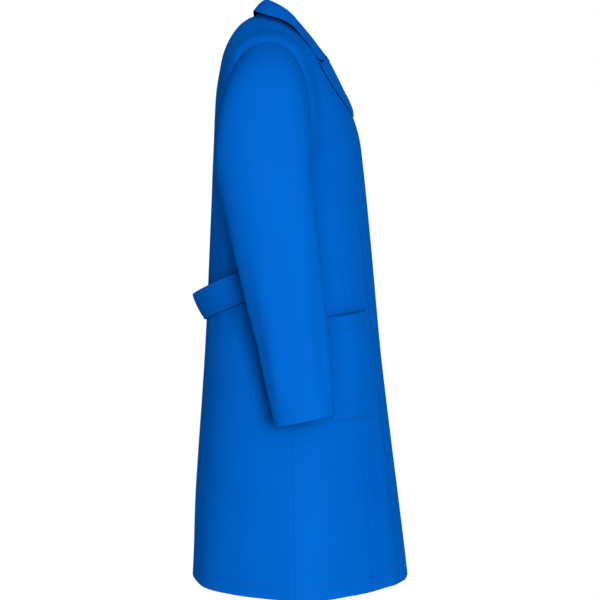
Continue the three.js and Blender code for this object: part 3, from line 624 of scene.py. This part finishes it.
def build_pockets(M):
    for s in (-1, 1):
        L = 'right' if s < 0 else 'left'
        a = dense(0, 165, 3.4, [0, 165, 2.5, 162.5], 1.0, 4) / 165
        z_edge = lambda a: 281 + 20 * np.maximum(0, (np.abs(2 * a - 1) - 0.8) / 0.2) ** 1.4
        z_top = lambda a: lerp(459, 447, a)
        b = dense(0, 168, 3.4, [0, 2.5, 168, 146], 1.0, 4) / 168
        Ag, Bg = np.meshgrid(a, b, indexing='ij')
        Z = lerp(z_edge(Ag), z_top(Ag), Bg)
        t0, t1 = tOfX(104, Z), tOfY(-43, Z)
        T = lerp(t0, t1, Ag)
        P = section(s * T, Z)
        q = section(s * T + 0.01, Z) - section(s * T - 0.01, Z)
        m = unit(np.stack([q[..., 1], -q[..., 0], 0 * q[..., 0]], -1))
        m = m * -np.sign(m[..., 1:2])
        belly = (1 - np.abs(2 * Ag - 1) ** 3) * smooth(Bg * 1.25)
        rim = np.minimum(np.minimum(Ag, 1 - Ag) * 165, Bg * 168)
        off = 0.85 + 0.55 * (1 - np.exp(-(rim / 3) ** 2)) + (6.3 + 1.3 * np.cos(Ag * 9 + 1)) * belly
        P = P + m * off[..., None]
        P = fold_field(P)
        _, D = edge_roll(P, [])
        side = dip(D['u0'], 2.6, 0.9, 0.28) + dip(D['u1'], 2.6, 0.9, 0.28) + dip(D['v0'], 2.6, 0.9, 0.28)
        hem = dip(D['v1'], 22, 1.2, 0.35) - 0.35 * smooth((D['v1'] - 21) / 2.0)
        o = grid_mesh(f'coat_pocket_{L}', P, -TH, 0, body_out, disp=side + hem)
        finish_piece(o, [f'{L}_pocket'], 'coat_shell', mat=M['cloth'], held='hung')
        parts = []
        n3 = lambda X: unit(body_out(X) * [1, 1, 0])
        for path in (P[int(np.argmin(np.abs(D['u0'][:, 40] - 2.6))), 3:], P[int(np.argmin(np.abs(D['u1'][:, 40] - 2.6))), 3:],
                     P[3:-3, int(np.argmin(np.abs(D['v0'][25] - 2.6)))], P[:, int(np.argmin(np.abs(D['v1'][25] - 22)))]):
            parts.append(thread(path + n3(path) * 0.02, n3(path)))
        # bar tacks at the mouth's ends
        for i in (3, len(a) - 4):
            c, up = P[i, -3], unit(P[i, -1] - P[i, -6])
            sd = unit(P[min(i + 1, len(a) - 1), -3] - P[max(i - 1, 0), -3])
            for k in range(9):
                p0 = c - up * (1.2 + 1.0 * k)
                parts.append(thread(np.array([p0 - sd * 2.4, p0 + sd * 2.4]), np.array([n3(c), n3(c)]), pitch=4.8, length=4.6, r=0.3))
        t = join(f'coat_pocket_thread_{L}', parts)
        finish_piece(t, [], 'coat_shell', mat=M['thread'])


def belt_fn(q, b):
    k, s = np.abs(q), np.where(q < 0, -1.0, 1.0)
    T0 = 97 * DEG
    t = s * (math.pi - k * (math.pi - T0))
    d = k ** 1.8

    def one(z, off):
        p = section(t, z)
        u = section(t + 0.01, z) - section(t - 0.01, z)
        n = unit(np.stack([u[..., 1], -u[..., 0], 0 * u[..., 0]], -1))
        sg = np.sign(n[..., 0] * p[..., 0] + n[..., 1] * (p[..., 1] - 30))
        return p + n * (off * sg)[..., None]
    lo, hi = one(442 + 50 * d, 2.4 + 0 * q), one(485 + 57 * d, 2.4 + 23 * (1 - k ** 4))
    return lo + (hi - lo) * b[..., None]


def build_belt(M):
    q = np.concatenate([np.linspace(-1, -0.985, 4)[:-1], np.linspace(-0.985, 0.985, 150)[:-1], np.linspace(0.985, 1, 4)])
    b = dense(0, 50, 2.6, [0, 3, 47, 50], 0.9, 2.5) / 50
    Qg, Bg = np.meshgrid(q, b, indexing='ij')
    # the ends are cut to a blunt point
    tip = np.clip((np.abs(Qg) - 0.985) / 0.015, 0, 1)
    Bs = 0.5 + (Bg - 0.5) * (1 - 0.22 * tip)
    P = belt_fn(Qg, Bs)
    bow = 1.6 * np.sin(math.pi * Bg) + 0.5 * wave(P, 31, 110)
    out = lambda X: np.stack([X[..., 0], X[..., 1] - 50, 0 * X[..., 0]], -1)
    _, D = edge_roll(P, [])
    st = dip(D['v0'], 4.5, 1.0, 0.3) + dip(D['v1'], 4.5, 1.0, 0.3) + dip(D['u0'], 4.5, 1.0, 0.3) + dip(D['u1'], 4.5, 1.0, 0.3)
    rl = -0.4 * (np.exp(-(D['v0'] / 1.0) ** 2) + np.exp(-(D['v1'] / 1.0) ** 2))
    o = grid_mesh('coat_half_belt', P, 0.02, 0.9, out, disp=bow + st + rl)
    finish_piece(o, ['half_belt'], 'belt', mat=M['cloth'], held='hung')
    o = grid_mesh('coat_half_belt_lining', P, -0.75, -0.02, out, disp=bow)
    finish_piece(o, ['half_belt_lining'], 'belt', mat=M['facing'], held='hung')
    parts = []
    no = lambda X: unit(out(X))
    for j in (int(np.argmin(np.abs(D['v0'][70] - 4.5))), int(np.argmin(np.abs(D['v1'][70] - 4.5)))):
        path = P[3:-3, j] + no(P[3:-3, j]) * (0.75 + bow[3:-3, j])[:, None]
        parts.append(thread(path, no(path)))
    t = join('coat_half_belt_thread', parts)
    finish_piece(t, [], 'belt', mat=M['thread'])
    # buttons: four-hole, with a raised rim, sewn on
    qs = np.linspace(0.7, 1, 400)
    cl = belt_fn(qs, np.full_like(qs, 0.5))
    i = int(np.argmin(np.abs(cl[:, 1] - 66)))
    c0 = cl[i]
    e = belt_fn(np.array([qs[i] - 0.01, qs[i] + 0.01]), np.array([0.5, 0.5]))
    g = belt_fn(np.array([qs[i], qs[i]]), np.array([0.4, 0.6]))
    n0 = unit(np.cross(e[1] - e[0], g[1] - g[0]))
    n0 = n0 * np.sign(n0[0])
    for s in (-1, 1):
        L = 'right' if s < 0 else 'left'
        c, n = c0 * [s, 1, 1], n0 * [s, 1, 1]
        base = c + n * 1.0
        pr = [(0, 0.1), (6.6, 0.1), (8.2, 0.5), (8.9, 1.2), (9.0, 1.8), (8.6, 2.5), (7.9, 2.8), (7.2, 2.6), (6.6, 2.1), (5.9, 1.85), (0, 1.8)]
        V, Q = lathe(pr, base, n, 48)
        o = raw_mesh(f'coat_belt_button_{L}', V, Q, V[:, 1:] / 1000)
        finish_piece(o, [f'belt_button_{L}'], 'coat_shell', mat=M['button'])
        up = unit(np.cross(n, [0, 1.0, 0]))
        sd = np.cross(n, up)
        parts = []
        for k in (-1, 1):
            a0, a1 = base + n * 1.9 + up * 1.9 * k - sd * 1.9, base + n * 1.9 + up * 1.9 * k + sd * 1.9
            for w in (-0.35, 0, 0.35):
                parts.append(thread(np.array([a0 + up * w, a1 + up * w]), np.array([n, n]), pitch=3.8, length=3.9, r=0.24))
        for k1 in (-1, 1):
            for k2 in (-1, 1):
                V, Q = lathe([(0, 0), (0.95, 0), (1.1, 0.06), (0.95, 0.13), (0, 0.13)], base + n * 1.78 + up * 1.9 * k1 + sd * 1.9 * k2, n, 14)
                parts.append((V, Q))
        t = join(f'coat_belt_button_thread_{L}', parts)
        finish_piece(t, [], 'coat_shell', mat=M['thread'])


def build_studs(M):
    for s in (-1, 1):
        L = 'right' if s < 0 else 'left'
        kind = 'socket' if s < 0 else 'ball'
        for i, z in enumerate(STUD_Z):
            x = -3.0 if s < 0 else 3.0

            def band(x, z):
                p = section(s * tOfX(np.float64(x), np.float64(z)), np.float64(z))
                p[1] += 0 if s < 0 else float(INSET_L * smooth((62 - x) / 34))
                return p
            P = band(x, z)
            n = unit(np.cross(band(x + 0.5, z) - band(x - 0.5, z), band(x, z + 0.5) - band(x, z - 0.5)))
            n = n * -np.sign(n[1])
            if s < 0:
                base, ax = P + n * -1.42, -n
                pr = [(0, 0), (5.2, 0), (5.9, 0.25), (6.0, 0.6), (5.5, 0.95), (4.2, 1.0), (3.6, 0.75), (2.6, 0.72), (2.3, 0.95), (1.9, 0.95), (1.7, 0.35), (0, 0.3)]
            else:
                base, ax = P + n * 0.02, n
                pr = [(0, 0), (5.2, 0), (5.9, 0.25), (6.0, 0.6), (5.5, 0.95), (4.0, 1.0), (3.4, 0.7), (2.2, 0.7), (1.6, 0.9), (1.6, 1.9), (1.3, 2.3), (0, 2.4)]
            V, Q = lathe(pr, base, ax, 32)
            o = raw_mesh(f'coat_stud_{kind}_{i + 1}', V, Q, V[:, ::2] / 1000)
            st = (s * FOLD_X / 1000, 0, (800 - ORIGIN[2]) / 1000)
            en = (s * FOLD_X / 1000, 0, (625 - ORIGIN[2]) / 1000)
            if z > 625:
                finish_piece(o, [f'press_stud_{kind}_{i + 1}'], blend=('coat_shell', f'{L}_front', st, en), mat=M['metal'])
            else:
                finish_piece(o, [f'press_stud_{kind}_{i + 1}'], f'{L}_front', mat=M['metal'])


def build_loop(M):
    f = np.linspace(0, math.pi, 65)
    w = np.linspace(-3.5, 3.5, 9)
    Fg, Wg = np.meshgrid(f, w, indexing='ij')
    n = 2.6
    c, q = np.cos(Fg), np.sin(Fg)
    X = -np.sign(c) * np.abs(c) ** (2 / n) * (31 + Wg)
    Z = 966 - np.abs(q) ** (2 / n) * (24 + Wg)
    P = np.stack([X, 70.3 + 0.12 * np.sin(Fg * 3), Z], -1)
    d = 0.25 * np.abs(np.sin(Wg * math.pi / 3.5 * 1.0)) - 0.2 * (np.abs(Wg) > 3.1)
    o = grid_mesh('coat_hanger_loop', P, -0.6, 0.5, [0, -1, 0], disp=d)
    finish_piece(o, ['hanger_loop'], 'loop', mat=M['tape'])


def hem_threads(M):
    """The row of stitches that holds the body hem, following the same folds."""
    for s in (-1, 1):
        L = 'right' if s < 0 else 'left'
        z = HEM_STITCH
        for nm, t0, t1, bl in (('back', math.pi - 0.004, math.pi / 2, None), ('side', math.pi / 2, float(tOfX(princess(z), z)), None), ('front', float(tOfX(princess(z), z)), float(tOfX(FOLD_X, z)), None)):
            T = np.linspace(t0, t1, 90)
            P = fold_field(section(s * T, z + 0 * T))
            n = unit(body_out(P) * [1, 1, 0])
            V, Q = thread(P - n * 0.25, n)
            t = raw_mesh(f'coat_hem_thread_{nm}_{L}', V, Q, V[:, :2] / 1000)
            finish_piece(t, [], 'coat_shell', mat=M['thread'])
        over = OVER_R if s < 0 else UNDER_L
        X = np.linspace(FOLD_X - 1, -over + 2, 60)
        P = section(s * tOfX(X, z + 0 * X), z + 0 * X)
        if s > 0:
            P[..., 1] += INSET_L * smooth((62 - X) / 34)
        P = fold_field(P)
        n = unit(body_out(P) * [1, 1, 0])
        parts = [thread(P - n * 0.25, n)]
        # the front edge's own row
        zz = np.linspace(4, 735, 150)
        X = np.full_like(zz, -over + 6.0)
        P = section(s * tOfX(X, zz), zz)
        if s > 0:
            P[..., 1] += INSET_L * smooth((62 - X) / 34)
        P = fold_field(P)
        n = unit(body_out(P) * [1, 1, 0])
        parts.append(thread(P - n * 0.2, n))
        t = join(f'coat_front_edge_thread_{L}', parts)
        finish_piece(t, [], blend=('coat_shell', f'{L}_front', (s * FOLD_X / 1000, 0, -0.153), (s * FOLD_X / 1000, 0, -0.328)), mat=M['thread'])


# ---- materials -----------------------------------------------------------------------------------
def fabric(name, colour, twill=0.00125, bump=0.12, sheen=0.03, vary=0.07, rough=0.85):
    m = bpy.data.materials.new(name)
    m.use_nodes = True
    nt = m.node_tree
    N, Lk = nt.nodes, nt.links
    bs = N['Principled BSDF']
    bs.inputs['Sheen Weight'].default_value = sheen
    bs.inputs['Sheen Roughness'].default_value = 0.45
    bs.inputs['Sheen Tint'].default_value = (0.0, 0.3, 1.0, 1)
    bs.inputs['Specular IOR Level'].default_value = 0.0
    uv = N.new('ShaderNodeUVMap')
    uv.uv_map = 'UVMap'
    # twill: diagonal ribs crossed by the weft
    mp = N.new('ShaderNodeMapping')
    mp.inputs['Rotation'].default_value = (0, 0, math.radians(27))
    Lk.new(uv.outputs['UV'], mp.inputs['Vector'])
    w1 = N.new('ShaderNodeTexWave')
    w1.wave_type, w1.bands_direction, w1.wave_profile = 'BANDS', 'X', 'SIN'
    w1.inputs['Scale'].default_value = 0.314 / twill
    w1.inputs['Distortion'].default_value = 0.6
    w1.inputs['Detail'].default_value = 1.0
    w1.inputs['Detail Scale'].default_value = 0.4
    Lk.new(mp.outputs['Vector'], w1.inputs['Vector'])
    w2 = N.new('ShaderNodeTexWave')
    w2.wave_type, w2.bands_direction, w2.wave_profile = 'BANDS', 'Y', 'SIN'
    w2.inputs['Scale'].default_value = 0.314 / (twill * 0.55)
    w2.inputs['Distortion'].default_value = 0.4
    Lk.new(uv.outputs['UV'], w2.inputs['Vector'])
    add = N.new('ShaderNodeMath')
    add.operation = 'MULTIPLY_ADD'
    add.inputs[1].default_value = 0.35
    Lk.new(w2.outputs['Fac'], add.inputs[0])
    Lk.new(w1.outputs['Fac'], add.inputs[2])
    tc = N.new('ShaderNodeTexCoord')
    # slubs and a fine uneven surface
    ns = N.new('ShaderNodeTexNoise')
    ns.inputs['Scale'].default_value = 420
    ns.inputs['Detail'].default_value = 3
    Lk.new(tc.outputs['Object'], ns.inputs['Vector'])
    add2 = N.new('ShaderNodeMath')
    add2.operation = 'MULTIPLY_ADD'
    add2.inputs[1].default_value = 0.5
    Lk.new(ns.outputs['Fac'], add2.inputs[0])
    Lk.new(add.outputs[0], add2.inputs[2])
    bp = N.new('ShaderNodeBump')
    bp.inputs['Strength'].default_value = bump
    bp.inputs['Distance'].default_value = 0.0003
    Lk.new(add2.outputs[0], bp.inputs['Height'])
    # soft press marks
    n3 = N.new('ShaderNodeTexNoise')
    n3.inputs['Scale'].default_value = 26
    n3.inputs['Detail'].default_value = 4
    n3.inputs['Roughness'].default_value = 0.55
    Lk.new(tc.outputs['Object'], n3.inputs['Vector'])
    b2 = N.new('ShaderNodeBump')
    b2.inputs['Strength'].default_value = 0.25
    b2.inputs['Distance'].default_value = 0.0012
    Lk.new(n3.outputs['Fac'], b2.inputs['Height'])
    Lk.new(bp.outputs['Normal'], b2.inputs['Normal'])
    Lk.new(b2.outputs['Normal'], bs.inputs['Normal'])
    # colour: threads, broad unevenness of the dye, a little wear
    n2 = N.new('ShaderNodeTexNoise')
    n2.inputs['Scale'].default_value = 9
    n2.inputs['Detail'].default_value = 5
    n2.inputs['Roughness'].default_value = 0.6
    Lk.new(tc.outputs['Object'], n2.inputs['Vector'])
    mixf = N.new('ShaderNodeMath')
    mixf.operation = 'MULTIPLY_ADD'
    mixf.inputs[1].default_value = 0.35
    Lk.new(w1.outputs['Fac'], mixf.inputs[0])
    Lk.new(n2.outputs['Fac'], mixf.inputs[2])
    cr = N.new('ShaderNodeValToRGB')
    e = cr.color_ramp.elements
    e[0].position, e[1].position = 0.3, 1.0
    e[0].color = tuple(c * (1 - vary) for c in colour) + (1,)
    e[1].color = tuple(min(1, c * (1 + vary)) for c in colour) + (1,)
    Lk.new(mixf.outputs[0], cr.inputs['Fac'])
    # painted shade: the base colour is darkened by ambient occlusion inside creases, under laps and where parts meet,
    # standing in for shade
    ao = N.new('ShaderNodeAmbientOcclusion')
    ao.samples = 8
    ao.inputs['Distance'].default_value = 0.085
    shade_strength = N.new('ShaderNodeMapRange')
    shade_strength.inputs['From Min'].default_value, shade_strength.inputs['From Max'].default_value = 0.3, 0.97
    shade_strength.inputs['To Min'].default_value, shade_strength.inputs['To Max'].default_value = 0.34, 1.0
    Lk.new(ao.outputs['AO'], shade_strength.inputs['Value'])
    painted_shade = N.new('ShaderNodeVectorMath')
    painted_shade.operation = 'SCALE'
    Lk.new(cr.outputs['Color'], painted_shade.inputs[0])
    Lk.new(shade_strength.outputs['Result'], painted_shade.inputs['Scale'])
    Lk.new(painted_shade.outputs[0], bs.inputs['Base Color'])
    rr = N.new('ShaderNodeMapRange')
    rr.inputs['To Min'].default_value = rough - 0.06
    rr.inputs['To Max'].default_value = rough + 0.08
    Lk.new(n3.outputs['Fac'], rr.inputs['Value'])
    Lk.new(rr.outputs['Result'], bs.inputs['Roughness'])
    return m


def plain(name, colour, rough, metal=0.0, scale=300, vary=0.08):
    m = bpy.data.materials.new(name)
    m.use_nodes = True
    nt = m.node_tree
    N, Lk = nt.nodes, nt.links
    bs = N['Principled BSDF']
    bs.inputs['Metallic'].default_value = metal
    bs.inputs['Specular IOR Level'].default_value = 0.5 if metal else 0.2
    tc = N.new('ShaderNodeTexCoord')
    n = N.new('ShaderNodeTexNoise')
    n.inputs['Scale'].default_value = scale
    n.inputs['Detail'].default_value = 4
    Lk.new(tc.outputs['Object'], n.inputs['Vector'])
    cr = N.new('ShaderNodeValToRGB')
    e = cr.color_ramp.elements
    e[0].position, e[1].position = 0.35, 0.7
    e[0].color = tuple(c * (1 - vary) for c in colour) + (1,)
    e[1].color = tuple(min(1, c * (1 + vary)) for c in colour) + (1,)
    Lk.new(n.outputs['Fac'], cr.inputs['Fac'])
    Lk.new(cr.outputs['Color'], bs.inputs['Base Color'])
    rr = N.new('ShaderNodeMapRange')
    rr.inputs['To Min'].default_value = max(0.02, rough - 0.07)
    rr.inputs['To Max'].default_value = rough + 0.07
    Lk.new(n.outputs['Fac'], rr.inputs['Value'])
    Lk.new(rr.outputs['Result'], bs.inputs['Roughness'])
    return m


# ---- light, floor and camera -----------------------------------------------------------------------
def area_light(name, loc, target, size, power, colour=(1, 1, 1)):
    d = bpy.data.lights.new(name, 'AREA')
    d.shape, d.size, d.size_y, d.energy, d.color = 'RECTANGLE', size[0], size[1], power, colour
    o = bpy.data.objects.new(name, d)
    bpy.context.collection.objects.link(o)
    o.location = loc
    v = Vector(target) - Vector(loc)
    o.rotation_euler = v.to_track_quat('-Z', 'Y').to_euler()
    return o


def build_set():
    w = bpy.data.worlds.new('white studio')
    bpy.context.scene.world = w
    w.use_nodes = True
    w.node_tree.nodes['Background'].inputs['Color'].default_value = (1, 1, 1, 1)
    w.node_tree.nodes['Background'].inputs['Strength'].default_value = WORLD
    me = bpy.data.meshes.new('studio_floor')
    r, z = 1.15, -1.42
    me.from_pydata([(-r, -r, z), (r, -r, z), (r, r, z), (-r, r, z)], [], [(0, 1, 2, 3)])
    f = bpy.data.objects.new('studio_floor', me)
    bpy.context.collection.objects.link(f)
    m = bpy.data.materials.new('pale floor')
    m.use_nodes = True
    m.node_tree.nodes['Principled BSDF'].inputs['Base Color'].default_value = (0.9, 0.9, 0.9, 1)
    m.node_tree.nodes['Principled BSDF'].inputs['Roughness'].default_value = 0.8
    me.materials.append(m)
    for name, loc, tgt, size, power in LAMPS:
        area_light(name, loc, tgt, size, power)
    cam = bpy.data.cameras.new('camera')
    c = bpy.data.objects.new('camera', cam)
    bpy.context.collection.objects.link(c)
    cam.sensor_width, cam.sensor_height, cam.sensor_fit = 36, 36, 'HORIZONTAL'
    cam.lens = 1388.6 / 600 * 36
    cam.dof.use_dof = False
    cam.clip_start, cam.clip_end = 0.05, 50
    c.location = ((-2430 - ORIGIN[0]) / 1000, (0 - ORIGIN[1]) / 1000, (476 - ORIGIN[2]) / 1000)
    c.rotation_euler = (math.pi / 2, 0, -math.pi / 2)
    bpy.context.scene.camera = c


bpy.context.scene.view_settings.view_transform = 'Standard'
WORLD = 1.0
LAMPS = [
    ('key', (-5.0, -0.9, -0.15), (0, 0, -0.45), (1.4, 1.4), 600),
    ('far_side', (5.0, -0.9, 0.3), (0, 0, -0.45), (1.6, 1.6), 420),
]

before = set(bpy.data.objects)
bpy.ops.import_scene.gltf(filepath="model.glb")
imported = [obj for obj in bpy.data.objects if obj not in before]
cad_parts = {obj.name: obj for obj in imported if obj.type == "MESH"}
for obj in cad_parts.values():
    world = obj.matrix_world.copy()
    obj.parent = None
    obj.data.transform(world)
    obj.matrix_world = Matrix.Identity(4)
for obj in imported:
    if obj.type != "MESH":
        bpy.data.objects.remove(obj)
CLOTH_RGB = (0.0002, 0.0405, 0.193)
M = {
    'cloth': fabric('royal blue twill', CLOTH_RGB),
    'facing': fabric('royal blue facing', (0.0002, 0.037, 0.178)),
    'tape': fabric('woven tape', (0.0004, 0.03, 0.14), twill=0.0009, bump=0.3),
    'thread': plain('sewing thread', (0.0004, 0.036, 0.172), 0.6, scale=900),
    'button': plain('dyed resin button', (0.0005, 0.026, 0.13), 0.35, scale=160),
    'metal': plain('nickel-plated brass', (0.62, 0.6, 0.57), 0.28, metal=1.0, scale=700),
}
build_body(M)
build_sleeves(M)
build_collar(M)
build_pockets(M)
build_belt(M)
build_studs(M)
build_loop(M)
hem_threads(M)
build_set()

for o, held in CLOTHS:
    w, l, a = o['flat_w'], o['flat_l'], o['flat_a']
    if 'belt' in o.name or 'loop' in o.name:
        w, l = min(w, l), max(w, l)
    share = a / (w * l)
    if share > 1:
        w, l = w * math.sqrt(share), l * math.sqrt(share)
        share = 1.0
    elif share < 0.32:
        k = math.sqrt(share / 0.34)
        w, l = w * k, l * k
